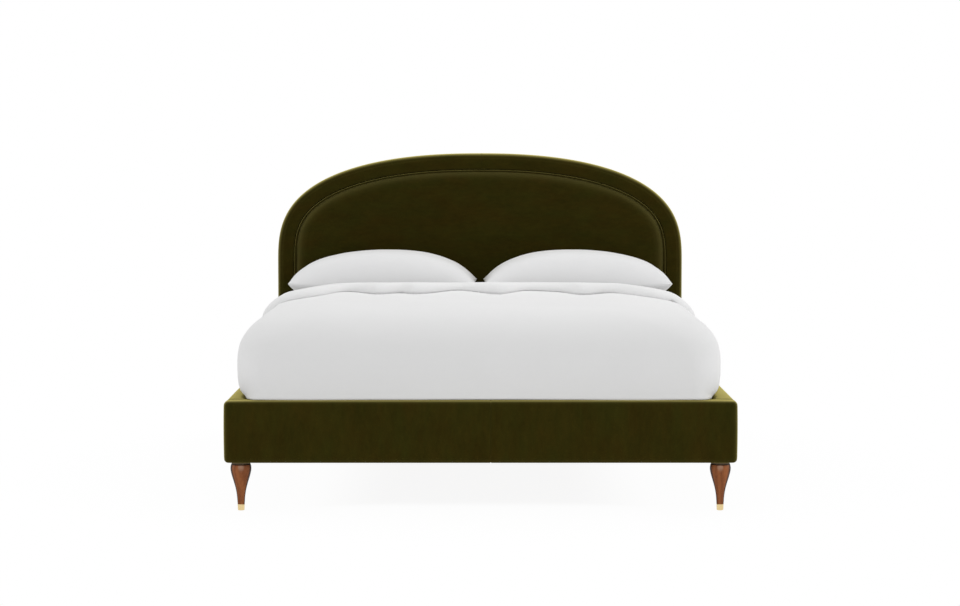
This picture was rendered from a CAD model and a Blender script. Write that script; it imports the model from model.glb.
import math

import bpy
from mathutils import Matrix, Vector, noise


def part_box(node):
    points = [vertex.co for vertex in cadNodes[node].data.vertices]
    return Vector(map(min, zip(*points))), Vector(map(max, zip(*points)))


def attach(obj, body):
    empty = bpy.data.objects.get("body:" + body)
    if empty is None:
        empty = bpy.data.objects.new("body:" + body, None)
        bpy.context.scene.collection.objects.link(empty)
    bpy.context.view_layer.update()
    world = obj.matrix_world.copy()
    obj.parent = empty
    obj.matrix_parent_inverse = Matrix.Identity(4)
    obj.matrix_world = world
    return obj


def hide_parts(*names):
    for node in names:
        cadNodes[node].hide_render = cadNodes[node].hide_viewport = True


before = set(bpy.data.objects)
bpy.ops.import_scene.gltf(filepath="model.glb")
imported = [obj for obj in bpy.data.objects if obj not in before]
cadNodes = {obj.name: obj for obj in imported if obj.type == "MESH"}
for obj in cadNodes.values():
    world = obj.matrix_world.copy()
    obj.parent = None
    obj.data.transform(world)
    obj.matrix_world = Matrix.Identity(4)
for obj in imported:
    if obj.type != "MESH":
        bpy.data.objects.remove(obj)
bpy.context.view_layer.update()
print("frame loaded:", len(cadNodes), "nodes")


# Small helpers

def pick(*objects):
    if bpy.context.object and bpy.context.object.mode != "OBJECT":
        bpy.ops.object.mode_set(mode="OBJECT")
    bpy.ops.object.select_all(action="DESELECT")
    for item in objects:
        item.select_set(True)
    bpy.context.view_layer.objects.active = objects[0]


def smoothStep(value, start, end):
    share = min(max((value - start) / (end - start), 0), 1)
    return share * share * (3 - 2 * share)


def between(a, b, share):
    return a + (b - a) * share


def ripple(point, size, seed=0.0):
    # smooth noise of about -1 to 1, with bumps of the given size in metres
    return noise.noise(Vector(point) / size + Vector((seed, seed * 1.7, seed * 0.6)))


def applyModifier(piece, kind, **settings):
    pick(piece)
    modifier = piece.modifiers.new(kind.lower(), kind)
    for key, value in settings.items():
        setattr(modifier, key, value)
    bpy.ops.object.modifier_apply(modifier=modifier.name)


def editMesh(piece, *steps):
    # each step is a mesh operator and its settings, used on the whole mesh
    pick(piece)
    bpy.ops.object.mode_set(mode="EDIT")
    for operator, settings in steps:
        bpy.ops.mesh.select_all(action="SELECT")
        operator(**settings)
    bpy.ops.object.mode_set(mode="OBJECT")


def tidyMesh(piece, mergeAt=0.0001, fillHoles=False):
    fill = [(bpy.ops.mesh.fill_holes, {"sides": 0})] if fillHoles else []
    editMesh(piece, (bpy.ops.mesh.remove_doubles, {"threshold": mergeAt}), *fill,
             (bpy.ops.mesh.normals_make_consistent, {"inside": False}))


def fitBox(piece, low, high):
    # stretch a piece to fill a box
    points = [vertex.co for vertex in piece.data.vertices]
    least = Vector((min(point[i] for point in points) for i in range(3)))
    most = Vector((max(point[i] for point in points) for i in range(3)))
    for vertex in piece.data.vertices:
        vertex.co = Vector((between(low[i], high[i], (vertex.co[i] - least[i]) / (most[i] - least[i]))
                            for i in range(3)))


def addPrimitive(name, operator, **settings):
    # a new mesh object, left as the only one selected
    bpy.ops.object.select_all(action="DESELECT")
    operator(**settings)
    bpy.context.object.name = name
    return bpy.context.object


def cadCopy(nodeName, pieceName):
    source = cadNodes[nodeName]
    piece = source.copy()
    piece.data = source.data.copy()
    piece.name = pieceName
    piece.parent = None
    bpy.context.scene.collection.objects.link(piece)
    tidyMesh(piece)
    return piece


def lattice(pieceName, columns, rows, place, mergeAt=0.00005, fillHoles=True):
    # a grid primitive whose points are laid out by place(u, v), u and v from 0 to 1
    piece = addPrimitive(pieceName, bpy.ops.mesh.primitive_grid_add, x_subdivisions=columns,
                         y_subdivisions=rows, size=2)
    for vertex in piece.data.vertices:
        vertex.co = place((vertex.co.x + 1) / 2, (vertex.co.y + 1) / 2)
    tidyMesh(piece, mergeAt, fillHoles)
    return piece


def walkAt(points, share):
    # point at a share of the length of a list of points
    lengths = [0.0]
    for a, b in zip(points, points[1:]):
        lengths.append(lengths[-1] + (Vector(b) - Vector(a)).length)
    goal = lengths[-1] * min(max(share, 0), 1)
    for i in range(len(points) - 1):
        if goal <= lengths[i + 1] or i == len(points) - 2:
            span = lengths[i + 1] - lengths[i]
            k = (goal - lengths[i]) / span if span else 0
            return Vector(points[i]).lerp(Vector(points[i + 1]), k)


def resample(points, count):
    return [walkAt(points, i / (count - 1)) for i in range(count)]


def quarter(centre, radius, startAngle, endAngle, steps=6):
    return [(centre[0] + radius * math.cos(math.radians(between(startAngle, endAngle, i / steps))),
             centre[1] + radius * math.sin(math.radians(between(startAngle, endAngle, i / steps))))
            for i in range(steps + 1)]


def finishPiece(piece, body, material, nodes=(), smoothAngle=None):
    pick(piece)
    piece.data.materials.clear()
    piece.data.materials.append(material)
    if smoothAngle is None:
        bpy.ops.object.shade_smooth()
    else:
        bpy.ops.object.shade_smooth_by_angle(angle=math.radians(smoothAngle))
    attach(piece, body)
    if nodes:
        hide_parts(*nodes)


# Material groups: each puts out only masks and heights, and every material sets its own values

def newGroup(name, outputs, **inputs):
    group = bpy.data.node_groups.new(name, "ShaderNodeTree")
    group.interface.new_socket("Vector", in_out="INPUT", socket_type="NodeSocketVector")
    for label, value in inputs.items():
        group.interface.new_socket(label, in_out="INPUT", socket_type="NodeSocketFloat").default_value = value
    for label in outputs:
        group.interface.new_socket(label, in_out="OUTPUT", socket_type="NodeSocketFloat")
    return group, group.nodes.new("NodeGroupInput").outputs, group.nodes.new("NodeGroupOutput").inputs


def addNode(tree, kind, values=None, links=None, **settings):
    node = tree.nodes.new(kind)
    for key, value in settings.items():
        setattr(node, key, value)
    for key, value in (values or {}).items():
        node.inputs[key].default_value = value
    for key, source in (links or {}).items():
        tree.links.new(source, node.inputs[key])
    return node


def mapRange(tree, value, low, high, toLow=0.0, toHigh=1.0, kind="LINEAR"):
    limits = {"From Min": low, "From Max": high, "To Min": toLow, "To Max": toHigh}
    return addNode(tree, "ShaderNodeMapRange", limits, {"Value": value}, interpolation_type=kind).outputs[0]


def maths(tree, operation, first, second=None, vector=False, **settings):
    # the second term is another socket or a plain value
    node = addNode(tree, "ShaderNodeVectorMath" if vector else "ShaderNodeMath", {}, {0: first},
                   operation=operation, **settings)
    if isinstance(second, bpy.types.NodeSocket):
        tree.links.new(second, node.inputs[1])
    elif second is not None:
        node.inputs[1].default_value = second
    return node.outputs["Vector" if vector and operation not in ("DOT_PRODUCT", "LENGTH") else "Value"]


def mixColours(tree, factor, first, second):
    # from the colour of a socket to a plain one
    return addNode(tree, "ShaderNodeMix", {7: (*second, 1)}, {0: factor, 6: first},
                   data_type="RGBA").outputs[2]


def noiseIn(tree, vector, scale, **values):
    return addNode(tree, "ShaderNodeTexNoise", values, {"Vector": vector, "Scale": scale}).outputs["Fac"]


def makeMottleGroup():
    # cloudy change of shade in two sizes, as nap or dye gives
    group, inside, outside = newGroup("mottle", ["Tone"], Broad=4.0, Fine=40.0, Share=0.35)
    broad = noiseIn(group, inside["Vector"], inside["Broad"], Detail=3.0, Roughness=0.5, Distortion=0.4)
    fine = noiseIn(group, inside["Vector"], inside["Fine"], Detail=4.0, Roughness=0.6)
    mix = addNode(group, "ShaderNodeMix", {}, {0: inside["Share"], 2: broad, 3: fine}, data_type="FLOAT")
    group.links.new(mix.outputs[0], outside["Tone"])
    return group


def makePileGroup():
    # height of short pile or of loose fibres
    group, inside, outside = newGroup("pile", ["Height"], Scale=900.0)
    grit = noiseIn(group, inside["Vector"], inside["Scale"], Detail=2.0, Roughness=0.7)
    group.links.new(grit, outside["Height"])
    return group


def makeWeaveGroup():
    # over and under threads along the three axes, so that each flat side shows a plain weave
    group, inside, outside = newGroup("weave", ["Height"], Threads=1500.0)
    split = addNode(group, "ShaderNodeSeparateXYZ", {}, {"Vector": inside["Vector"]}).outputs
    waves = [maths(group, "SINE", maths(group, "MULTIPLY", split[axis], inside["Threads"])) for axis in "XYZ"]
    total = maths(group, "ADD", maths(group, "ADD", waves[0], waves[1]), waves[2])
    group.links.new(total, outside["Height"])
    return group


def makeGrainGroup():
    # wood along the local X axis: broad growth bands, fine pores and a height for the bump
    group, inside, outside = newGroup("grain", ["Bands", "Pores"], Bands=18.0, Pores=220.0)
    along = addNode(group, "ShaderNodeMapping", {"Scale": (0.09, 1.0, 1.0)}, {"Vector": inside["Vector"]})
    bend = addNode(group, "ShaderNodeTexNoise", {"Scale": 5.0, "Detail": 2.0}, {"Vector": along.outputs[0]})
    shift = addNode(group, "ShaderNodeMix", {0: 0.06}, {4: along.outputs[0], 5: bend.outputs["Color"]},
                    data_type="VECTOR")
    bands = addNode(group, "ShaderNodeTexWave", {"Distortion": 3.5, "Detail": 3.0, "Detail Scale": 1.2},
                    {"Vector": shift.outputs[1], "Scale": inside["Bands"]},
                    wave_type="BANDS", bands_direction="DIAGONAL")
    pores = noiseIn(group, along.outputs[0], inside["Pores"], Detail=3.0, Roughness=0.65)
    group.links.new(bands.outputs["Fac"], outside["Bands"])
    group.links.new(pores, outside["Pores"])
    return group


mottle, pile, weave, grain = makeMottleGroup(), makePileGroup(), makeWeaveGroup(), makeGrainGroup()


def startMaterial(name, plain, scale=(1, 1, 1), turn=(0, 0, 0)):
    # plain holds what the shader's own sockets are set to
    material = bpy.data.materials.new(name)
    material.use_nodes = True
    tree = material.node_tree
    shader = tree.nodes["Principled BSDF"]
    for key, value in plain.items():
        shader.inputs[key].default_value = value
    place = addNode(tree, "ShaderNodeTexCoord")
    mapping = addNode(tree, "ShaderNodeMapping", {"Scale": scale, "Rotation": turn},
                      {"Vector": place.outputs["Object"]})
    return material, tree, shader, mapping.outputs[0]


def useGroup(tree, group, vector, **values):
    node = addNode(tree, "ShaderNodeGroup", node_tree=group)
    tree.links.new(vector, node.inputs["Vector"])
    for key, value in values.items():
        node.inputs[key].default_value = value
    return node


def colourBetween(tree, factor, dark, light, low=0.3, high=0.7):
    share = mapRange(tree, factor, low, high)
    return addNode(tree, "ShaderNodeMix", {6: (*dark, 1), 7: (*light, 1)}, {0: share},
                   data_type="RGBA").outputs[2]


def bump(tree, shader, height, strength, distance, under=None):
    node = addNode(tree, "ShaderNodeBump", {"Strength": strength, "Distance": distance}, {"Height": height})
    if under:
        tree.links.new(under.outputs[0], node.inputs["Normal"])
    tree.links.new(node.outputs[0], shader.inputs["Normal"])
    return node


velvet = {"brown": (0.0262, 0.0188, 0.0026), "green": (0.0232, 0.0209, 0.0029), "deep": 0.87, "pale": 1.15,
          "under": 0.15, "middle": 0.62, "hollowPower": 1.6, "hollowDim": 0.35, "hueSpan": (0.38, 0.62),
          "toneSpan": (0.35, 0.65), "brushSpan": (-0.12, 0.04), "lowest": -0.6, "climb": 0.9}
velvetPlain = {"Roughness": 0.95, "Specular IOR Level": 0.02, "Sheen Weight": 0.22, "Sheen Roughness": 0.35,
               "Sheen Tint": (0.85, 0.70, 0.16, 1)}


def makeVelvet(name, scale, nap=(0.645, 0.562, 0.178), brighter=1.0, napPower=1.7, hollowSize=0.014,
               crest=1.0, brushed=True):
    material, tree, shader, vector = startMaterial(name, velvetPlain, scale=scale)
    hue = useGroup(tree, mottle, vector, Broad=6.0, Fine=17.0, Share=0.4).outputs["Tone"]
    tone = useGroup(tree, mottle, vector, Broad=11.0, Fine=48.0, Share=0.5).outputs["Tone"]
    short = useGroup(tree, pile, vector, Scale=700.0).outputs["Height"]
    patches = colourBetween(tree, hue, velvet["brown"], velvet["green"], *velvet["hueSpan"])
    shade = mapRange(tree, tone, *velvet["toneSpan"], velvet["deep"] * brighter, velvet["pale"] * brighter)
    base = maths(tree, "MULTIPLY", patches, shade, vector=True)
    # the pile is dark along its hairs and pale across them, less so in a groove and underneath
    facing = addNode(tree, "ShaderNodeLayerWeight", {"Blend": 0.5}).outputs["Facing"]
    hollow = addNode(tree, "ShaderNodeAmbientOcclusion", {"Distance": hollowSize}, samples=12).outputs["AO"]
    normal = addNode(tree, "ShaderNodeNewGeometry").outputs["Normal"]
    upward = addNode(tree, "ShaderNodeSeparateXYZ", {}, {"Vector": normal}).outputs["Z"]
    lowest, under = velvet["lowest"], velvet["under"]
    rise = velvet["climb"] * (crest - under) / (1 - under)
    above = mapRange(tree, upward, lowest, rise + lowest, under, crest)
    lit = maths(tree, "MULTIPLY", maths(tree, "POWER", hollow, velvet["hollowPower"]), above)
    amount = maths(tree, "MULTIPLY", maths(tree, "POWER", facing, napPower), lit)
    if brushed:
        # less too where it is brushed towards the middle of the headboard
        place = addNode(tree, "ShaderNodeTexCoord").outputs["Object"]
        away = maths(tree, "SUBTRACT", place, (0, 0, velvet["middle"]), vector=True)
        flat = maths(tree, "MULTIPLY", away, (1, 0, 1), vector=True)
        outwards = maths(tree, "DOT_PRODUCT", flat, normal, vector=True)
        amount = maths(tree, "MULTIPLY", amount, mapRange(tree, outwards, *velvet["brushSpan"]))
    base = maths(tree, "MULTIPLY", base, mapRange(tree, hollow, 0, 1, velvet["hollowDim"]), vector=True)
    tree.links.new(mixColours(tree, amount, base, nap), shader.inputs["Base Color"])
    bump(tree, shader, short, 0.5, 0.0006, bump(tree, shader, tone, 0.3, 0.004))
    return material


clothPlain = {"Roughness": 0.85, "Specular IOR Level": 0.2, "Sheen Weight": 0.15, "Sheen Roughness": 0.5}
woodPlain = {"Roughness": 0.5, "Specular IOR Level": 0.3}


def makeCloth(name, dark, light, threads, thickness, broad=3.0):
    material, tree, shader, vector = startMaterial(name, clothPlain)
    tone = useGroup(tree, mottle, vector, Broad=broad, Fine=60.0, Share=0.3).outputs["Tone"]
    cloth = useGroup(tree, weave, vector, Threads=threads).outputs["Height"]
    tree.links.new(colourBetween(tree, tone, dark, light), shader.inputs["Base Color"])
    bump(tree, shader, cloth, 0.10, thickness, bump(tree, shader, tone, 0.12, 0.004))
    return material


def makeWood(name, dark, light, bands, pores, turn=(0, 0, 0), contrast=0.5, plain=woodPlain):
    material, tree, shader, vector = startMaterial(name, plain, turn=turn)
    wood = useGroup(tree, grain, vector, Bands=bands, Pores=pores).outputs
    factor = addNode(tree, "ShaderNodeMix", {0: contrast}, {2: wood["Bands"], 3: wood["Pores"]},
                     data_type="FLOAT").outputs[0]
    tree.links.new(colourBetween(tree, factor, dark, light, 0.2, 0.8), shader.inputs["Base Color"])
    bump(tree, shader, wood["Pores"], 0.25, 0.0006)
    return material


# lengths are down from the top of the leg, and facing is 0 towards the eye and 1 along an edge
turned = {"dark": (0.185, 0.058, 0.020), "light": (0.370, 0.126, 0.042), "contrast": 0.68,
          "rim": (0.022, 0.008, 0.004), "rimFacing": (0.36, 0.62), "rimDown": (0.0038, 0.0026),
          "shine": (0.43, 0.25, 0.165), "shineFacing": 0.075, "shineDown": (0.034, 0.007), "shineMost": 0.85}
turnedPlain = {"Roughness": 0.5, "Specular IOR Level": 0.08, "Coat Weight": 0.12, "Coat Roughness": 0.3}


def makeTurnedWood():
    # walnut on a turned leg: darker towards its sides and under the plate, with a soft lacquer shine in front
    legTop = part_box("leg_front_left")[1].z
    material = makeWood("walnut", turned["dark"], turned["light"], 26.0, 420.0, turn=(0, quarterTurn, 0),
                        contrast=turned["contrast"], plain=turnedPlain)
    tree = material.node_tree
    shader = tree.nodes["Principled BSDF"]
    plain = shader.inputs["Base Color"].links[0].from_socket
    facing = addNode(tree, "ShaderNodeLayerWeight", {"Blend": 0.5}).outputs["Facing"]
    place = addNode(tree, "ShaderNodeTexCoord").outputs["Object"]
    height = addNode(tree, "ShaderNodeSeparateXYZ", {}, {"Vector": place}).outputs["Z"]
    front = mapRange(tree, facing, 0, turned["shineFacing"], 1, 0, "SMOOTHSTEP")
    low, high = (legTop - down for down in turned["shineDown"])
    shoulder = mapRange(tree, height, low, high, 0, turned["shineMost"])
    lighter = mixColours(tree, maths(tree, "MULTIPLY", front, shoulder), plain, turned["shine"])
    low, high = (legTop - down for down in turned["rimDown"])
    top = mapRange(tree, height, low, high)
    edge = maths(tree, "MAXIMUM", mapRange(tree, facing, *turned["rimFacing"]), top)
    tree.links.new(mixColours(tree, edge, lighter, turned["rim"]), shader.inputs["Base Color"])
    return material


def makeMetal(name, colour, worn, roughness, metallic=1.0):
    material, tree, shader, vector = startMaterial(name, {"Metallic": metallic})
    tone = useGroup(tree, mottle, vector, Broad=30.0, Fine=400.0, Share=0.5).outputs["Tone"]
    tree.links.new(colourBetween(tree, tone, worn, colour), shader.inputs["Base Color"])
    tree.links.new(mapRange(tree, tone, 0, 1, roughness - 0.06, roughness + 0.1), shader.inputs["Roughness"])
    bump(tree, shader, tone, 0.1, 0.0004)
    return material


def makePlastic():
    material, tree, shader, vector = startMaterial("blackPlastic", {"Roughness": 0.55})
    tone = useGroup(tree, mottle, vector, Broad=60.0, Fine=600.0, Share=0.6).outputs["Tone"]
    colour = colourBetween(tree, tone, (0.012, 0.012, 0.012), (0.03, 0.03, 0.03))
    tree.links.new(colour, shader.inputs["Base Color"])
    bump(tree, shader, tone, 0.3, 0.0004)
    return material


quarterTurn = math.pi / 2
velvetHead = makeVelvet("velvetHead", (0.7, 1.0, 1.7), crest=1.4)
velvetPanel = makeVelvet("velvetPanel", (0.7, 1.0, 1.7), nap=(0.74, 0.645, 0.204), napPower=1.3,
                         hollowSize=0.003)
velvetRail = makeVelvet("velvetRail", (1.5, 1.5, 0.6), nap=(0.575, 0.503, 0.164), brighter=1.3, brushed=False)
duvetCotton = makeCloth("duvetCotton", (0.825, 0.825, 0.825), (0.845, 0.845, 0.845), 4200.0, 0.0002)
pillowCotton = makeCloth("pillowCotton", (0.75, 0.75, 0.753), (0.775, 0.775, 0.778), 3600.0, 0.0002)
ticking = makeCloth("ticking", (0.70, 0.69, 0.66), (0.76, 0.75, 0.72), 1800.0, 0.0005)
tape = makeCloth("tape", (0.50, 0.49, 0.46), (0.58, 0.57, 0.53), 2600.0, 0.0005)
backCloth = makeCloth("backCloth", (0.010, 0.009, 0.004), (0.016, 0.014, 0.006), 2400.0, 0.0004, broad=8.0)
webbing = makeCloth("webbing", (0.010, 0.010, 0.010), (0.020, 0.020, 0.020), 2600.0, 0.0006)
pine = ((0.46, 0.28, 0.13), (0.62, 0.43, 0.24), 22.0, 260.0)
pineAcross = makeWood("pineAcross", *pine)
pineAlong = makeWood("pineAlong", *pine, turn=(0, 0, quarterTurn))
pineUpright = makeWood("pineUpright", *pine, turn=(0, quarterTurn, 0))
plywood = makeWood("plywood", (0.38, 0.23, 0.11), (0.52, 0.35, 0.19), 9.0, 160.0)
walnut = makeTurnedWood()
brass = makeMetal("brass", (0.83, 0.66, 0.36), (0.70, 0.53, 0.26), 0.24)
bronzedSteel = makeMetal("bronzedSteel", (0.105, 0.068, 0.022), (0.080, 0.052, 0.017), 0.55, metallic=0.2)
zincSteel = makeMetal("zincSteel", (0.60, 0.61, 0.62), (0.48, 0.49, 0.50), 0.38)
blackPlastic = makePlastic()

# the first word that stands in a node's name gives its finish
finishes = [("centre_leg", pineUpright), ("leg_plates", bronzedSteel), ("leg_front", walnut),
            ("leg_rear", walnut), ("ferrule", brass), ("glide_pad", blackPlastic), ("slat_straps", webbing),
            ("headboard_back", backCloth), ("headboard_board", plywood)]
finishes += [(word, zincSteel)
             for word in ("bolt", "nut", "screw", "bracket", "hanger", "insert", "glide_stem")]
finishes += [(word, pineAlong) for word in ("ledger", "centre_beam", "side_rail_core")]
for name, node in cadNodes.items():
    finish = next((material for word, material in finishes if word in name), pineAcross)
    for materialSlot in node.material_slots:
        materialSlot.material = finish
print("materials ready")


# Headboard: the arch's outline, from the bottom left over the top to the bottom right

arch = {"rise": 0.455, "wider": 0.0029, "taller": 0.0013, "squareX": 2.31, "squareZ": 2.9, "steps": 900,
        "straightSteps": 40}
borderLow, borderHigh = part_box("headboard_border")
archHalf, archTop = borderHigh.x + arch["wider"], borderHigh.z + arch["taller"]
archFoot, faceY = borderLow.z, borderLow.y
springZ = archTop - arch["rise"]


def archOutline(foot):
    # points close together, and their inward normals
    points, inward, straight = [], [], arch["straightSteps"]
    for i in range(straight + 1):
        points.append(Vector((-archHalf, 0, between(foot, springZ, i / straight))))
        inward.append(Vector((1, 0, 0)))
    for i in range(1, arch["steps"]):
        angle = math.radians(between(-90, 90, i / arch["steps"]))
        side = -1 if angle < 0 else 1
        x = archHalf * abs(math.sin(angle)) ** (2 / arch["squareX"])
        z = arch["rise"] * math.cos(angle) ** (2 / arch["squareZ"])
        slopeX = arch["squareX"] / archHalf * (x / archHalf) ** (arch["squareX"] - 1)
        slopeZ = arch["squareZ"] / arch["rise"] * (z / arch["rise"]) ** (arch["squareZ"] - 1)
        points.append(Vector((side * x, 0, springZ + z)))
        inward.append(-Vector((side * slopeX, 0, slopeZ)).normalized())
    for i in range(straight + 1):
        points.append(Vector((archHalf, 0, between(springZ, foot, i / straight))))
        inward.append(Vector((-1, 0, 0)))
    lengths = [0.0]
    for a, b in zip(points, points[1:]):
        lengths.append(lengths[-1] + (b - a).length)
    return points, inward, lengths


class ArchWalk:
    # the outline from a given foot height, read by a share of its length and an inset
    def __init__(self, foot):
        self.points, self.inward, self.lengths = archOutline(foot)
        self.length = self.lengths[-1]

    def at(self, share, inset):
        goal = self.length * min(max(share, 0), 1)
        low, high = 0, len(self.lengths) - 1
        while high - low > 1:
            middle = (low + high) // 2
            if self.lengths[middle] <= goal:
                low = middle
            else:
                high = middle
        k = (goal - self.lengths[low]) / max(self.lengths[high] - self.lengths[low], 1e-9)
        spot = self.points[low].lerp(self.points[high], k)
        return spot + self.inward[low].lerp(self.inward[high], k) * inset


# the lip is the ledge inside the front pad that the panel's edge covers
border = {"width": 0.065, "depth": 0.087, "frontPad": 0.04, "edgePad": 0.012, "outerRadius": 0.021,
          "innerRadius": 0.004, "crown": 0.002, "backBevel": 0.002, "lipWidth": 0.014, "lipStart": 0.013,
          "lipDepth": 0.0215, "columns": 520, "rows": 96, "crowd": 0.06, "seamX": 0.007, "seamDepth": 0.0024,
          "seamWidth": 0.0028, "frontFace": 0.012, "softDepth": 0.0009, "softSize": 0.09, "softEdge": 0.006}


def makeBorder():
    walk = ArchWalk(archFoot)
    width, depth, frontPad, bevel = (border[key] for key in ("width", "depth", "frontPad", "backBevel"))
    outer, inner, lip = border["outerRadius"], border["innerRadius"], width + border["lipWidth"]
    section = ([(border["edgePad"], depth), (bevel, depth), (0, depth - bevel)]
               + quarter((outer, outer), outer, 180, 270)
               + [(width * 0.35, -border["crown"] * 0.9), (width * 0.55, -border["crown"])]
               + quarter((width - inner, inner), inner, 270, 360)
               + [(width, border["lipStart"]), (lip, border["lipDepth"]), (lip, frontPad),
                  (border["edgePad"], frontPad), (border["edgePad"], depth)])
    ring = resample(section, border["rows"] + 1)
    seamShare = 0.5 + border["seamX"] / walk.length

    def place(u, v):
        # the columns crowd together near the seam at the top
        share = u - border["crowd"] * math.sin(2 * math.pi * (u - seamShare))
        inset, back = ring[min(int(round(v * border["rows"])), border["rows"])]
        spot = walk.at(share, inset)
        spot.y = faceY + back
        if back < border["frontFace"]:
            soft = border["softDepth"] * ripple((spot.x, inset * 3, spot.z), border["softSize"], 3.1)
            seam = border["seamDepth"] * math.exp(-((spot.x - border["seamX"]) / border["seamWidth"]) ** 2)
            spot.y += (soft + seam) * smoothStep(width - inset, 0, border["softEdge"])
        return spot

    piece = lattice("headboardBorder", border["columns"], border["rows"], place)
    finishPiece(piece, "frame", velvetHead, ["headboard_border"], smoothAngle=50)


piping = {"inset": 0.0724, "radius": 0.0037, "depth": 0.0085, "columns": 520, "rows": 18}


def makePiping():
    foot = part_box("headboard_piping")[0].z
    walk = ArchWalk(foot)

    def place(u, v):
        angle = 2 * math.pi * v
        radius = piping["radius"]
        spot = walk.at(u, piping["inset"] + radius * math.cos(angle))
        spot.y = faceY + piping["depth"] + radius * math.sin(angle)
        return spot

    piece = lattice("headboardPiping", piping["columns"], piping["rows"], place)
    finishPiece(piece, "frame", velvetPanel, ["headboard_piping"], smoothAngle=60)


panel = {"inset": 0.0765, "edgeDepth": 0.02, "faceDepth": 0.002, "swell": 0.16, "backDepth": 0.04,
         "around": 640, "rings": 64, "archShare": 0.66, "edgeRun": 0.04, "swellRun": 0.7, "coreRun": 0.3,
         "crowd": 2.2, "coreScale": 0.7, "coreHalf": 0.42, "coreHeight": 0.46, "pucker": 0.0002,
         "puckerReach": 0.022, "puckerSize": 0.035, "softDepth": 0.0011, "softSize": 0.16,
         "softSpan": (0.005, 0.06)}
# how far the face lies back, from the seam inwards, in shares of the swell and of the depth
panelSection = [(0, 1), (0.008, 0.885), (0.025, 0.735), (0.05, 0.585), (0.075, 0.47), (0.1, 0.375),
                (0.125, 0.298), (0.15, 0.233), (0.2, 0.138), (0.25, 0.075), (0.375, 0.02), (0.75, 0), (1, 0)]


def makePanel():
    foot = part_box("headboard_panel")[0].z
    walk = ArchWalk(foot)
    archShare, edgeRun, swellRun = panel["archShare"], panel["edgeRun"], panel["swellRun"]

    def outline(share, inset):
        total = panel["inset"] + inset
        if share < archShare:
            spot = walk.at(share / archShare, total)
            if spot.z < springZ:
                spot.z = between(foot + inset, springZ, (spot.z - foot) / (springZ - foot))
            return spot
        half = archHalf - total
        return Vector((between(half, -half, (share - archShare) / (1 - archShare)), 0, foot + inset))

    def depthAt(inset):
        share = min(inset / panel["swell"], 1)
        for (a, da), (b, db) in zip(panelSection, panelSection[1:]):
            if share <= b:
                k = (share - a) / (b - a)
                return between(panel["faceDepth"], panel["edgeDepth"], between(da, db, k))
        return panel["faceDepth"]

    def place(u, v):
        # v runs from the seam over the swell and on to a line in the middle
        if v < edgeRun:
            spot = outline(u, 0)
            spot.y = faceY + between(panel["backDepth"], panel["edgeDepth"], v / edgeRun)
            return spot
        run = (v - edgeRun) / (1 - edgeRun)
        if run <= swellRun:
            inset = panel["swell"] * (run / swellRun) ** panel["crowd"]
            spot = outline(u, inset)
        else:
            inset = panel["swell"]
            spot = outline(u, inset)
            coreX = max(min(spot.x * panel["coreScale"], panel["coreHalf"]), -panel["coreHalf"])
            core = Vector((coreX, 0, between(foot, archTop, panel["coreHeight"])))
            spot = spot.lerp(core, (run - swellRun) / panel["coreRun"])
        pull = math.exp(-inset / panel["puckerReach"]) * panel["pucker"]
        flat, share = (spot.x, 0, spot.z), smoothStep(inset, *panel["softSpan"])
        spot.y = (faceY + depthAt(inset) + pull * ripple(flat, panel["puckerSize"], 7.3)
                  + panel["softDepth"] * ripple(flat, panel["softSize"], 1.9) * share)
        return spot

    piece = lattice("headboardPanel", panel["around"], panel["rings"], place, mergeAt=0.0002)
    finishPiece(piece, "frame", velvetPanel, ["headboard_panel"], smoothAngle=60)


makeBorder()
makePiping()
makePanel()
print("headboard made")


# Rails: padded blocks, crowned on the faces that show

rail = {"radius": 0.013, "bevelSteps": 6, "voxel": 0.006, "faceCrown": 0.0035, "topCrown": 0.0025,
        "endCrown": 0.002, "softDepth": 0.0007, "softSize": 0.11, "seamX": 0.033, "seamDepth": 0.0016,
        "seamWidth": 0.0014, "fuller": 0.0013}


def paddedBlock(name, low, high, radius):
    piece = addPrimitive(name, bpy.ops.mesh.primitive_cube_add, size=1, location=(low + high) / 2,
                         scale=high - low)
    pick(piece)
    bpy.ops.object.transform_apply(location=True, rotation=True, scale=True)
    bevel = {"offset": radius, "segments": rail["bevelSteps"], "affect": "EDGES"}
    editMesh(piece, (bpy.ops.mesh.bevel, bevel))
    applyModifier(piece, "REMESH", mode="VOXEL", voxel_size=rail["voxel"])
    applyModifier(piece, "SMOOTH", factor=0.5, iterations=2)
    fitBox(piece, low, high)
    return piece


def seamLine(piece, x, depth):
    # a stitched joint across the length: five close loops, the middle ones drawn in
    editMesh(piece, *((bpy.ops.mesh.bisect, {"plane_co": (x + shift, 0, 0), "plane_no": (1, 0, 0)})
                      for shift in (-0.003, -0.0012, 0, 0.0012, 0.003)))
    normals = [vertex.normal.copy() for vertex in piece.data.vertices]
    for vertex, normal in zip(piece.data.vertices, normals):
        vertex.co -= normal * depth * math.exp(-((vertex.co.x - x) / rail["seamWidth"]) ** 2)


def crownCover(piece, low, high, out, side, seed):
    # swell the face that looks out along the axis out, 0 or 1, on the given side, and the top
    along = 1 - out
    middle, half = (low + high) / 2, (high - low) / 2
    for vertex in piece.data.vertices:
        share = Vector(((vertex.co[i] - middle[i]) / half[i] for i in range(3)))
        fade = (1 - abs(share[along]) ** 8) * (1 - share.z ** 2)
        if share[out] * side > 0.6:
            vertex.co[out] += side * rail["faceCrown"] * fade
            vertex.co[out] += rail["softDepth"] * ripple(vertex.co, rail["softSize"], seed) * fade
        if share.z > 0.9:
            vertex.co.z += rail["topCrown"] * (1 - share[out] ** 2) * (1 - abs(share[along]) ** 10)
        if along == 0 and abs(share.x) > 0.98:
            # the foot rail's ends show too
            vertex.co.x += math.copysign(rail["endCrown"], share.x) * (1 - share.z ** 2) * (1 - share.y ** 2)


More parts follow.
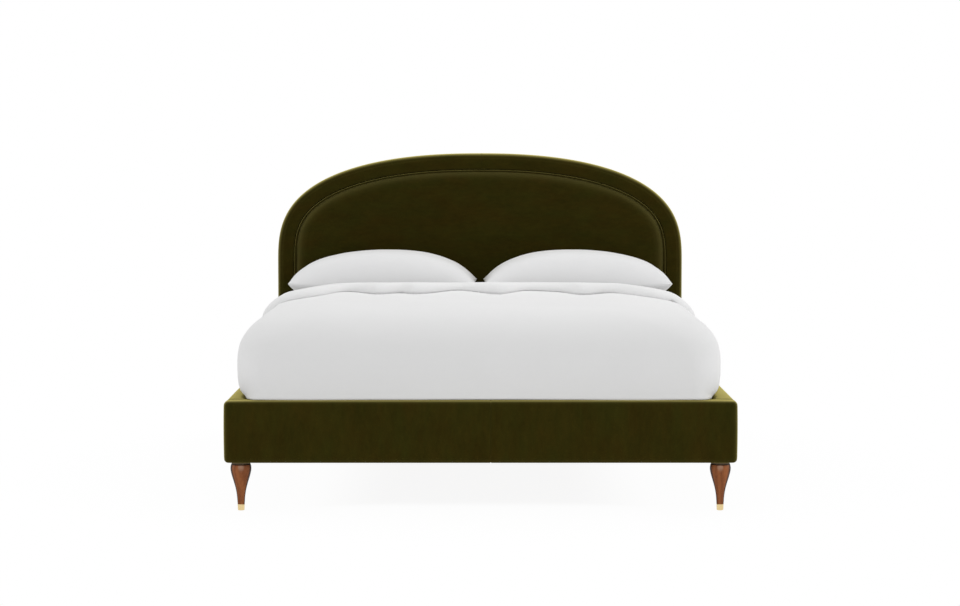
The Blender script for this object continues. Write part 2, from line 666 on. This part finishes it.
def makeFootRail():
    low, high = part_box("foot_rail_cover")
    low.x, high.x = low.x - rail["fuller"], high.x + rail["fuller"]
    piece = paddedBlock("footRail", low, high, rail["radius"])
    crownCover(piece, low, high, 1, -1, 5.5)
    seamLine(piece, rail["seamX"], rail["seamDepth"])
    finishPiece(piece, "frame", velvetRail, ["foot_rail_cover"])


def makeSideRail(name, nodeName, side):
    low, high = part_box(nodeName)
    piece = paddedBlock(name, low, high, rail["radius"])
    crownCover(piece, low, high, 0, side, 8.2 * side)
    finishPiece(piece, "frame", velvetRail, [nodeName])


makeFootRail()
makeSideRail("sideRailLeft", "side_rail_cover_left", -1)
makeSideRail("sideRailRight", "side_rail_cover_right", 1)
print("rails made")


# Pillows: two sheets sewn round the edge and blown up by a cloth simulation

# a pair of powers belongs to the inner and the outer end
pillow = {"half": (0.3702, 0.256), "centreX": 0.3833, "shiftX": 0.0006, "tall": 0.2045, "cells": (64, 46),
          "top": 0.1275, "bottom": 0.078, "seam": 0.002, "outline": (2.6, 1.9), "fullness": (0.73, 0.46),
          "endOutline": 6, "endFullness": 0.85, "drawIn": (0.022, 0.045), "crease": 0.0015,
          "creaseSize": 0.06, "creaseSpan": (0.15, 0.6), "middleSpan": (-0.2, 0.2), "cornerLift": 0.01,
          "sink": 0.006, "frames": 18, "cap": 0.0025}
stuffing = {"quality": 6, "mass": 0.3, "tension_stiffness": 15, "compression_stiffness": 15,
            "shear_stiffness": 5, "bending_stiffness": 0.4, "use_pressure": True,
            "uniform_pressure_force": 4.0}


def sewSheets(name, across, along):
    # two flat grids joined round the edge, in a fixed order, so that the simulation gives the same each run
    def corner(i, j, level):
        return (level * (along + 1) + j) * (across + 1) + i

    points = [(2 * i / across - 1, 2 * j / along - 1, level)
              for level in (0, 1) for j in range(along + 1) for i in range(across + 1)]
    faces = []
    for i in range(across):
        for j in range(along):
            ring = [(i, j), (i + 1, j), (i + 1, j + 1), (i, j + 1)]
            faces.append([corner(*place, 1) for place in ring])
            faces.append([corner(*place, 0) for place in reversed(ring)])
    rim = ([(i, 0) for i in range(across)] + [(across, j) for j in range(along)]
           + [(i, along) for i in range(across, 0, -1)] + [(0, j) for j in range(along, 0, -1)])
    for a, b in zip(rim, rim[1:] + rim[:1]):
        faces.append([corner(*a, 0), corner(*b, 0), corner(*b, 1), corner(*a, 1)])
    piece = bpy.data.objects.new(name, bpy.data.meshes.new(name))
    piece.data.from_pydata(points, [], faces)
    bpy.context.scene.collection.objects.link(piece)
    return piece


def inflate(piece):
    start = [vertex.co.copy() for vertex in piece.data.vertices]
    pick(piece)
    cloth = piece.modifiers.new("stuffing", "CLOTH")
    for key, value in stuffing.items():
        setattr(cloth.settings, key, value)
    cloth.settings.effector_weights.gravity = 0
    cloth.point_cache.frame_start = 1
    cloth.point_cache.frame_end = pillow["frames"]
    for step in range(1, pillow["frames"] + 1):
        bpy.context.scene.frame_set(step)
    bpy.ops.object.modifier_apply(modifier=cloth.name)
    bpy.context.scene.frame_set(1)
    for vertex, old in zip(piece.data.vertices, start):
        move = vertex.co - old
        if move.length > pillow["cap"]:
            vertex.co = old + move.normalized() * pillow["cap"]


def makePillow(name, nodeName, side):
    low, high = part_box(nodeName)
    middleY = (low.y + high.y) / 2
    piece = sewSheets(name, *pillow["cells"])
    (halfX, halfY), (drawX, drawY), seam = pillow["half"], pillow["drawIn"], pillow["seam"]
    for vertex in piece.data.vertices:
        # s runs from the inner to the outer end, t from the foot to the head of the bed
        s, t = (math.sin(math.pi / 2 * share) for share in (vertex.co.x * side, vertex.co.y))
        outer = smoothStep(s, *pillow["middleSpan"])
        full = max(1 - abs(s) ** between(*pillow["outline"], outer), 0) ** between(*pillow["fullness"], outer)
        full *= max(1 - abs(t) ** pillow["endOutline"], 0) ** pillow["endFullness"]
        if vertex.co.z > 0.5:
            z = pillow["top"] * full + seam
        else:
            z = -pillow["bottom"] * (max(1 - abs(s) ** 3, 0) * max(1 - abs(t) ** 3, 0)) ** 0.5 - seam
        x = side * (pillow["centreX"] + s * halfX * (1 - drawX * (1 - t * t)))
        y = middleY + t * halfY * (1 - drawY * (1 - s * s))
        slant = (x + y * 0.8, 0.35 * (y - x * side), 0)
        deep = pillow["crease"] * ripple(slant, pillow["creaseSize"], 3.0 + side)
        fold = deep * smoothStep(abs(s), *pillow["creaseSpan"]) * (full ** 0.5)
        corner = pillow["cornerLift"] * (s * t) ** 4 * between(0.1, 1, outer)
        vertex.co = Vector((x, y, low.z + pillow["bottom"] + seam + z + corner + (fold if z > 0.01 else 0)))
    inflate(piece)
    middleX = side * pillow["centreX"] + pillow["shiftX"]
    fitBox(piece, Vector((middleX - halfX, middleY - halfY, low.z - pillow["sink"])),
           Vector((middleX + halfX, middleY + halfY, low.z + pillow["tall"])))
    for vertex in piece.data.vertices:
        vertex.co.z = max(vertex.co.z, low.z)
    applyModifier(piece, "SUBSURF", levels=1, render_levels=1)
    finishPiece(piece, nodeName, pillowCotton, [nodeName])


makePillow("pillowLeft", "pillow_left", -1)
makePillow("pillowRight", "pillow_right", 1)
print("pillows made")


# Duvet: a sheet over the top and down three sides, with its head end turned down over it

duvet = {"half": 0.7965, "foot": 1.064, "head": 0.446, "corner": 0.1, "cornerGrow": 0.6, "spine": -0.42,
         "flat": 0.36, "topZ": 0.6449, "spineZ": 0.6452, "sideColumns": 110, "cornerColumns": 34,
         "footColumns": 150, "topRows": 16, "outerRows": 64, "innerRows": 44, "columns": 420, "rows": 84,
         "broadDepth": 0.0014, "broadSize": 0.38, "softDepth": 0.0007, "softSize": 0.16, "liftDepth": 0.0016,
         "liftSize": 0.12, "nearEdge": 0.06, "nearEdgeSide": -0.085, "nearSides": (0.42, 0.66), "fold": 0.464,
         "press": 0.026, "pressSide": 0.018, "pressFrom": 0.005, "pressTo": 0.09, "bodySides": (0.66, 0.78),
         "hem": (0.38, 0.46), "layer": 0.0385, "layerSide": 0.036, "layerSides": (0.55, 0.75),
         "roll": 0.029, "heel": 0.007, "heelFrom": 0.85, "full": 0.044, "waveY": 0.036,
         "dent": 0.0036, "dentWidth": 0.075, "gap": 0.007, "gapX": 0.722, "gapWidth": 0.018, "tuck": 0.9,
         "leastTuck": 0.1, "level": 0.0575, "levelSides": (0.4, 0.6), "shiftX": -0.0052, "narrow": 1.0018}
# outer face and lining from the flat top down to the hem: distance in from the widest line, and height
sideOuter = [(0.36, 0.6449), (0.3, 0.644), (0.24, 0.6422), (0.19, 0.6385), (0.15, 0.6335), (0.11, 0.6268),
             (0.078, 0.6182), (0.057, 0.6095), (0.0355, 0.5895), (0.0205, 0.5675), (0.009, 0.546),
             (0.004, 0.523), (0.0012, 0.505), (0, 0.475), (0.0005, 0.435), (0.003, 0.41), (0.0065, 0.39),
             (0.013, 0.378), (0.023, 0.37), (0.028, 0.366)]
footOuter = [(0.36, 0.6449), (0.31, 0.6446), (0.26, 0.6438), (0.21, 0.642), (0.165, 0.638), (0.125, 0.629),
             (0.088, 0.612), (0.056, 0.5875), (0.031, 0.559), (0.0135, 0.525), (0.0035, 0.485), (0, 0.45),
             (-0.0005, 0.42), (-0.002, 0.4), (-0.005, 0.386), (-0.009, 0.376), (-0.0145, 0.369),
             (-0.018, 0.366)]
lining = [(0.026, 0.3657), (0.035, 0.3665), (0.0355, 0.378), (0.0355, 0.518), (0.037, 0.537), (0.046, 0.555),
          (0.063, 0.5668), (0.095, 0.569), (0.36, 0.569)]
# the turned part's upper face from the middle to the hem, at its near and its far end: x and height
turnedNear = [(0, 0.68), (0.3, 0.6795), (0.5, 0.6775), (0.56, 0.675), (0.61, 0.6705), (0.65, 0.664),
              (0.69, 0.655), (0.72, 0.647), (0.745, 0.633), (0.77, 0.612), (0.789, 0.588), (0.799, 0.563),
              (0.803, 0.52), (0.801, 0.44), (0.794, 0.388)]
turnedFar = [(0, 0.661), (0.3, 0.66), (0.456, 0.657), (0.544, 0.6535), (0.609, 0.646), (0.685, 0.635),
             (0.729, 0.6256), (0.76, 0.612), (0.783, 0.595), (0.795, 0.57), (0.8, 0.53), (0.799, 0.45),
             (0.793, 0.388)]
# how far the near edge waves towards the foot, from left to right
edgeWave = [(-0.85, 0), (-0.68, 0), (-0.6, -0.1), (-0.51, -1.25), (-0.378, 1.1), (-0.29, 0.28), (-0.24, 1),
            (-0.075, -1.35), (0.072, 1.2), (0.175, -1.2), (0.3, -0.3), (0.385, 1.6), (0.508, -0.3),
            (0.611, 0.1), (0.7, 0), (0.85, 0)]
# the roll at the near edge of the turned part, from its foot to its top, as shares of its width and depth
rollShape = [(0.16, 1), (0.045, 0.93), (0, 0.82), (0.03, 0.68), (0.1, 0.5), (0.25, 0.34), (0.42, 0.2),
             (0.62, 0.09), (0.82, 0.025), (1, 0)]


def toLine(pairs):
    return [Vector((a, 0, b)) for a, b in pairs]


def keyed(keys, x):
    # smooth run through a list of places and values, level at its highs and lows
    if not keys[0][0] < x < keys[-1][0]:
        return keys[0][1] if x <= keys[0][0] else keys[-1][1]
    i = max(k for k, (place, value) in enumerate(keys) if place <= x)
    slopes = [(b[1] - a[1]) / (b[0] - a[0]) for a, b in zip(keys, keys[1:])]

    def slopeAt(k):
        before, after = slopes[max(k - 1, 0)], slopes[min(k, len(slopes) - 1)]
        return 0 if before * after <= 0 else 2 * before * after / (before + after)

    (a, valueA), (b, valueB) = keys[i], keys[i + 1]
    t = (x - a) / (b - a)
    bend = (b - a) * t * (1 - t) * (slopeAt(i) * (1 - t) - slopeAt(i + 1) * t)
    return between(valueA, valueB, t * t * (3 - 2 * t)) + bend


def rounded(points, turns=3):
    # a line with its corners cut again and again, its ends kept
    for turn in range(turns):
        softer = [points[0]]
        for a, b in zip(points, points[1:]):
            softer += [a.lerp(b, 0.25), a.lerp(b, 0.75)]
        points = softer + [points[-1]]
    return points


def acrossBed(profile):
    # a line across the bed, from the left hem over the top to the right hem
    right = toLine(profile)
    points = [Vector((-spot.x, 0, spot.z)) for spot in reversed(right[1:])] + right
    return resample(rounded(points), duvet["columns"] + 1)


def nearEdgeAt(x):
    base = between(duvet["nearEdge"], duvet["nearEdgeSide"], smoothStep(abs(x), *duvet["nearSides"]))
    return base - duvet["waveY"] * keyed(edgeWave, x)


def settle(spot):
    # the made-up duvet lies a little to the left on the bed
    return Vector((spot.x * duvet["narrow"] + duvet["shiftX"], spot.y, spot.z))


def duvetPlan(column, inset):
    # place in plan and share of foot: down the left side, round the foot and up the right side
    side, corner, foot = duvet["sideColumns"], duvet["cornerColumns"], duvet["footColumns"]
    half, low = duvet["half"] - inset, inset - duvet["foot"]
    radius = duvet["corner"] + duvet["cornerGrow"] * max(inset, 0)
    last = 2 * (side + corner) + foot
    hand = -1 if column * 2 <= last else 1
    step = column if hand < 0 else last - column
    if step <= side:
        return Vector((hand * half, between(duvet["head"], low + radius, step / side), 0)), 0
    if step <= side + corner:
        share = (step - side) / corner
        angle = math.pi / 2 * share
        return Vector((hand * (half - radius + radius * math.cos(angle)),
                       low + radius - radius * math.sin(angle), 0)), share * share * (3 - 2 * share)
    share = (step - side - corner) / (foot / 2)
    return Vector((hand * (half - radius) * (1 - share), low, 0)), 1


def makeDuvetBody():
    topRows, outerRows, innerRows = (duvet[key] for key in ("topRows", "outerRows", "innerRows"))
    sideLine = resample(rounded(toLine(sideOuter)), outerRows + 1)
    footLine = resample(rounded(toLine(footOuter)), outerRows + 1)
    innerLine = resample(rounded(toLine(lining), 2), innerRows + 1)
    columns = 2 * (duvet["sideColumns"] + duvet["cornerColumns"]) + duvet["footColumns"]
    rows = 2 * topRows + outerRows + innerRows + 1

    def spineAt(column, height):
        side = duvet["sideColumns"]
        step = min(column, columns - column)
        return Vector((0, between(duvet["head"], duvet["spine"], min(step / side, 1)), height))

    def place(u, v):
        column, row = int(round(u * columns)), int(round(v * rows))
        if row < topRows:
            edge = duvetPlan(column, duvet["flat"])[0]
            rim = Vector((edge.x, edge.y, duvet["topZ"]))
            spot = spineAt(column, duvet["spineZ"]).lerp(rim, row / topRows)
        elif row <= topRows + outerRows:
            share = duvetPlan(column, 0)[1]
            pair = sideLine[row - topRows].lerp(footLine[row - topRows], share)
            spot = duvetPlan(column, pair.x)[0]
            spot.z = pair.z
        elif row <= topRows + outerRows + 1 + innerRows:
            pair = innerLine[row - topRows - outerRows - 1]
            spot = duvetPlan(column, pair.x)[0]
            spot.z = pair.z
            return spot
        else:
            edge = duvetPlan(column, duvet["flat"])[0]
            share = (rows - row) / topRows
            return spineAt(column, lining[-1][1]).lerp(Vector((edge.x, edge.y, lining[-1][1])), share)
        edge = nearEdgeAt(spot.x)
        under = smoothStep(spot.y, edge + duvet["pressFrom"], edge + duvet["pressTo"])
        aside = smoothStep(abs(spot.x), *duvet["bodySides"])
        soft = (duvet["broadDepth"] * ripple(spot, duvet["broadSize"], 2.2)
                + duvet["softDepth"] * ripple(spot, duvet["softSize"], 4.8))
        reach = math.exp(-((spot.y - edge) / duvet["dentWidth"]) ** 2)
        beside = duvet["dent"] * keyed(edgeWave, spot.x) * reach
        spot.z += (soft - beside - duvet["press"] * under) * (1 - aside)
        outside = Vector((math.copysign(1, spot.x), 0, 0)).lerp(Vector((0, -1, 0)), duvetPlan(column, 0)[1])
        spot += outside * (soft * smoothStep(spot.z, *duvet["hem"]) - duvet["pressSide"] * under) * aside
        return settle(spot)

    piece = lattice("duvetBody", columns, rows, place, mergeAt=0.0002)
    finishPiece(piece, "duvet", duvetCotton, ["duvet"])
    print("duvet body", len(piece.data.polygons), "faces")


def turnedSection(length, near, tuck):
    # closed section of the turned part, as distance from its near edge and depth under its upper face
    far, roll, heel = duvet["full"] / 2, duvet["roll"], duvet["heel"]
    section = [(0.034, near), (0.018, near), (0.010, near - 0.0015), (0.006, near - 0.0045)]
    section += [(roll * width * (tuck if height > duvet["heelFrom"] else 1), (near - heel) * height)
                for width, height in rollShape]
    rest = [(roll, 0), (roll + 0.03, 0), (length * 0.6, 0), (length - 0.05, 0)]
    rest += [(length - far + far * math.sin(math.radians(a)), far - far * math.cos(math.radians(a)))
             for a in range(0, 181, 20)]
    rest += [(length * 0.5, 2 * far), (0.12, near + 0.004), (0.034, near)]
    return resample(toLine(section), 25) + resample(toLine(rest), duvet["rows"] - 23)[1:]


def makeTurnedPart():
    nearLine, farLine = acrossBed(turnedNear), acrossBed(turnedFar)
    count = duvet["columns"]
    edges = [nearEdgeAt(spot.x) for spot in nearLine]
    layers = [between(duvet["layer"], duvet["layerSide"], smoothStep(abs(spot.x), *duvet["layerSides"]))
              + duvet["dent"] * keyed(edgeWave, spot.x)
              - duvet["gap"] * math.exp(-((spot.x - duvet["gapX"]) / duvet["gapWidth"]) ** 2)
              for spot in nearLine]
    tucks = [max(duvet["tuck"] + duvet["tuck"] * keyed(edgeWave, spot.x), duvet["leastTuck"])
             for spot in nearLine]
    sections = [turnedSection(duvet["fold"] - edge, layer, tuck)
                for edge, layer, tuck in zip(edges, layers, tucks)]

    def outward(line, i):
        along = (line[min(i + 1, count)] - line[max(i - 1, 0)]).normalized()
        return Vector((-along.z, 0, along.x))

    def place(u, v):
        i = min(int(round(u * count)), count)
        step = sections[i][min(int(round(v * duvet["rows"])), duvet["rows"])]
        share = smoothStep(step.x / (duvet["fold"] - edges[i]), 0.1, 1)
        spot = nearLine[i].lerp(farLine[i], share)
        soft = duvet["liftDepth"] * ripple((spot.x, step.x, spot.z), duvet["liftSize"], 6.6)
        spot = spot + outward(nearLine, i).lerp(outward(farLine, i), share) * (soft - step.z)
        # seen from the foot, the top of the roll keeps its height where the edge waves
        middle = 1 - smoothStep(abs(spot.x), *duvet["levelSides"])
        level = max(1 - step.z / layers[i], 0) * (1 - share) * middle
        spot.z -= duvet["level"] * (edges[i] - duvet["nearEdge"]) * level
        spot.y = edges[i] + step.x
        return settle(spot)

    piece = lattice("duvetTurned", count, duvet["rows"], place)
    applyModifier(piece, "SMOOTH", factor=0.5, iterations=2)
    finishPiece(piece, "duvet", duvetCotton)


makeDuvetBody()
makeTurnedPart()
print("duvet made")


# Mattress: quilted ticking with a taped edge above and below

mattress = {"voxel": 0.012, "quiltPitch": 0.16, "quiltWidth": 0.16, "quiltDepth": 0.004, "tapeRadius": 0.0055,
            "cornerRadius": 0.06, "tapeInset": 0.005, "tapeTop": 0.026, "columns": 360, "rows": 12}


def makeMattress():
    low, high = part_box("mattress")
    piece = cadCopy("mattress", "mattressBody")
    applyModifier(piece, "REMESH", mode="VOXEL", voxel_size=mattress["voxel"])
    normals = [vertex.normal.copy() for vertex in piece.data.vertices]
    for vertex, normal in zip(piece.data.vertices, normals):
        flat = smoothStep(abs(normal.z), 0.7, 0.95)
        a = math.sin(math.pi * (vertex.co.x + vertex.co.y) / mattress["quiltPitch"])
        b = math.sin(math.pi * (vertex.co.x - vertex.co.y) / mattress["quiltPitch"])
        dip = max(math.exp(-(a / mattress["quiltWidth"]) ** 2), math.exp(-(b / mattress["quiltWidth"]) ** 2))
        vertex.co -= normal * mattress["quiltDepth"] * dip * flat
        vertex.co.z = max(vertex.co.z, low.z)
    finishPiece(piece, "mattress", ticking, ["mattress"])


def makeTape(name, height):
    # the bound edge round the mattress, a soft cord along a rounded oblong
    low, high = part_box("mattress")
    middle, half, radius = (low + high) / 2, (high - low) / 2, mattress["cornerRadius"]
    plan = []
    for turn, (signX, signY) in enumerate(((1, 1), (-1, 1), (-1, -1), (1, -1))):
        centre = (middle.x + signX * (half.x - radius), middle.y + signY * (half.y - radius))
        plan += quarter(centre, radius, 90 * turn, 90 * turn + 90, 12)
    count = mattress["columns"]
    line = resample([Vector((x, y, height)) for x, y in plan + plan[:1]], count + 1)

    def place(u, v):
        i = int(round(u * count)) % count
        along = (line[i + 1] - line[i - 1 if i else count - 1]).normalized()
        out, angle = Vector((along.y, -along.x, 0)), 2 * math.pi * v
        return (line[i] + out * (mattress["tapeRadius"] * math.cos(angle) - mattress["tapeInset"])
                + Vector((0, 0, mattress["tapeRadius"] * math.sin(angle))))

    piece = lattice(name, count, mattress["rows"], place, fillHoles=False)
    finishPiece(piece, "mattress", tape)


makeMattress()
makeTape("mattressTapeTop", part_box("mattress")[1].z - mattress["tapeTop"])
makeTape("mattressTapeBottom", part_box("mattress")[0].z + mattress["tapeTop"])
print("bedding made")


# Studio: white floor and surround, soft lamps, camera of the photo

# the floor glows less near the bed, inside the spans in x and y, and more beyond the far span of distances
studio = {"floorSize": 120, "paint": 0.97, "glowNear": 0.915, "glowOut": 0.975, "spanX": (0.28, 0.62),
          "spanY": (0.86, 1.0), "farSpan": (1.2, 2.0), "farGlow": 0.03, "dim": 0.64}
# place, target, size and watts
lamps = {"overhead": ((0.3, 0.7, 3.8), (0, 0.1, 0.4), 2.8, 42),
         "front": ((0.6, -7.5, 1.8), (0, 0, 0.4), 3.5, 32),
         "right": ((5.0, -1.5, 1.2), (0, 0, 0.5), 2.5, 42),
         "left": ((-5.0, -1.5, 1.2), (0, 0, 0.5), 2.5, 26)}
shot = {"lens": 87.54, "back": 8.646, "height": 1.186, "left": 0.0103, "down": 3.811, "yaw": 0.062}


def emptyTree(owner):
    owner.use_nodes = True
    owner.node_tree.nodes.clear()
    return owner.node_tree


def seenShare(tree):
    # 1 for what is seen, straight or in a mirror or through glass, and 0 for light on its way to a surface
    light = addNode(tree, "ShaderNodeLightPath").outputs
    straight = maths(tree, "ADD", light["Is Camera Ray"], light["Is Glossy Ray"])
    return maths(tree, "ADD", straight, light["Is Transmission Ray"], use_clamp=True)


def mixShaders(tree, share, first, second, outputKind):
    mix = addNode(tree, "ShaderNodeMixShader", {}, {0: share, 1: first.outputs[0], 2: second.outputs[0]})
    addNode(tree, outputKind, {}, {"Surface": mix.outputs[0]})


def makeFloor():
    floor = addPrimitive("floor", bpy.ops.mesh.primitive_plane_add, size=studio["floorSize"])
    material = bpy.data.materials.new("floorPaint")
    tree = emptyTree(material)
    # the glow is full away from the bed, and near it leaves room for the shadow
    place = addNode(tree, "ShaderNodeTexCoord").outputs["Object"]
    split = addNode(tree, "ShaderNodeSeparateXYZ", {}, {"Vector": place}).outputs
    wide = mapRange(tree, maths(tree, "ABSOLUTE", split["X"]), *studio["spanX"], kind="SMOOTHSTEP")
    long = mapRange(tree, maths(tree, "ABSOLUTE", split["Y"]), *studio["spanY"], kind="SMOOTHSTEP")
    near = mapRange(tree, maths(tree, "MAXIMUM", wide, long), 0, 1, studio["glowNear"], studio["glowOut"])
    reach = maths(tree, "LENGTH", place, vector=True)
    far = mapRange(tree, reach, *studio["farSpan"], 0, studio["farGlow"], "SMOOTHSTEP")
    share = maths(tree, "MULTIPLY", seenShare(tree), maths(tree, "ADD", near, far, use_clamp=True))
    paint = addNode(tree, "ShaderNodeBsdfDiffuse", {"Color": (*(studio["paint"],) * 3, 1)})
    glow = addNode(tree, "ShaderNodeEmission", {"Color": (1, 1, 1, 1), "Strength": 1.0})
    mixShaders(tree, share, paint, glow, "ShaderNodeOutputMaterial")
    floor.data.materials.append(material)


def makeWorld():
    world = bpy.data.worlds.new("studio")
    bpy.context.scene.world = world
    tree = emptyTree(world)
    dim, white = (addNode(tree, "ShaderNodeBackground", {"Color": (1, 1, 1, 1), "Strength": strength})
                  for strength in (studio["dim"], 1.0))
    mixShaders(tree, seenShare(tree), dim, white, "ShaderNodeOutputWorld")


def placeObject(name, data, location, rotation):
    item = bpy.data.objects.new(name, data)
    bpy.context.scene.collection.objects.link(item)
    item.location = location
    item.rotation_euler = rotation
    return item


def makeLamp(name, location, target, size, watts):
    data = bpy.data.lights.new(name, "AREA")
    data.shape = "SQUARE"
    data.size = size
    data.energy = watts
    aim = (Vector(target) - Vector(location)).to_track_quat("-Z", "Y").to_euler()
    placeObject(name, data, location, aim)


def makeCamera():
    data = bpy.data.cameras.new("camera")
    data.lens = shot["lens"]
    data.sensor_width = 36
    aim = (math.radians(90 - shot["down"]), 0, -math.radians(shot["yaw"]))
    place = (-shot["left"], -shot["back"], shot["height"])
    bpy.context.scene.camera = placeObject("camera", data, place, aim)


makeFloor()
makeWorld()
for lampName, lampSettings in lamps.items():
    makeLamp(lampName, *lampSettings)
makeCamera()
bpy.context.scene.view_settings.view_transform = "Standard"
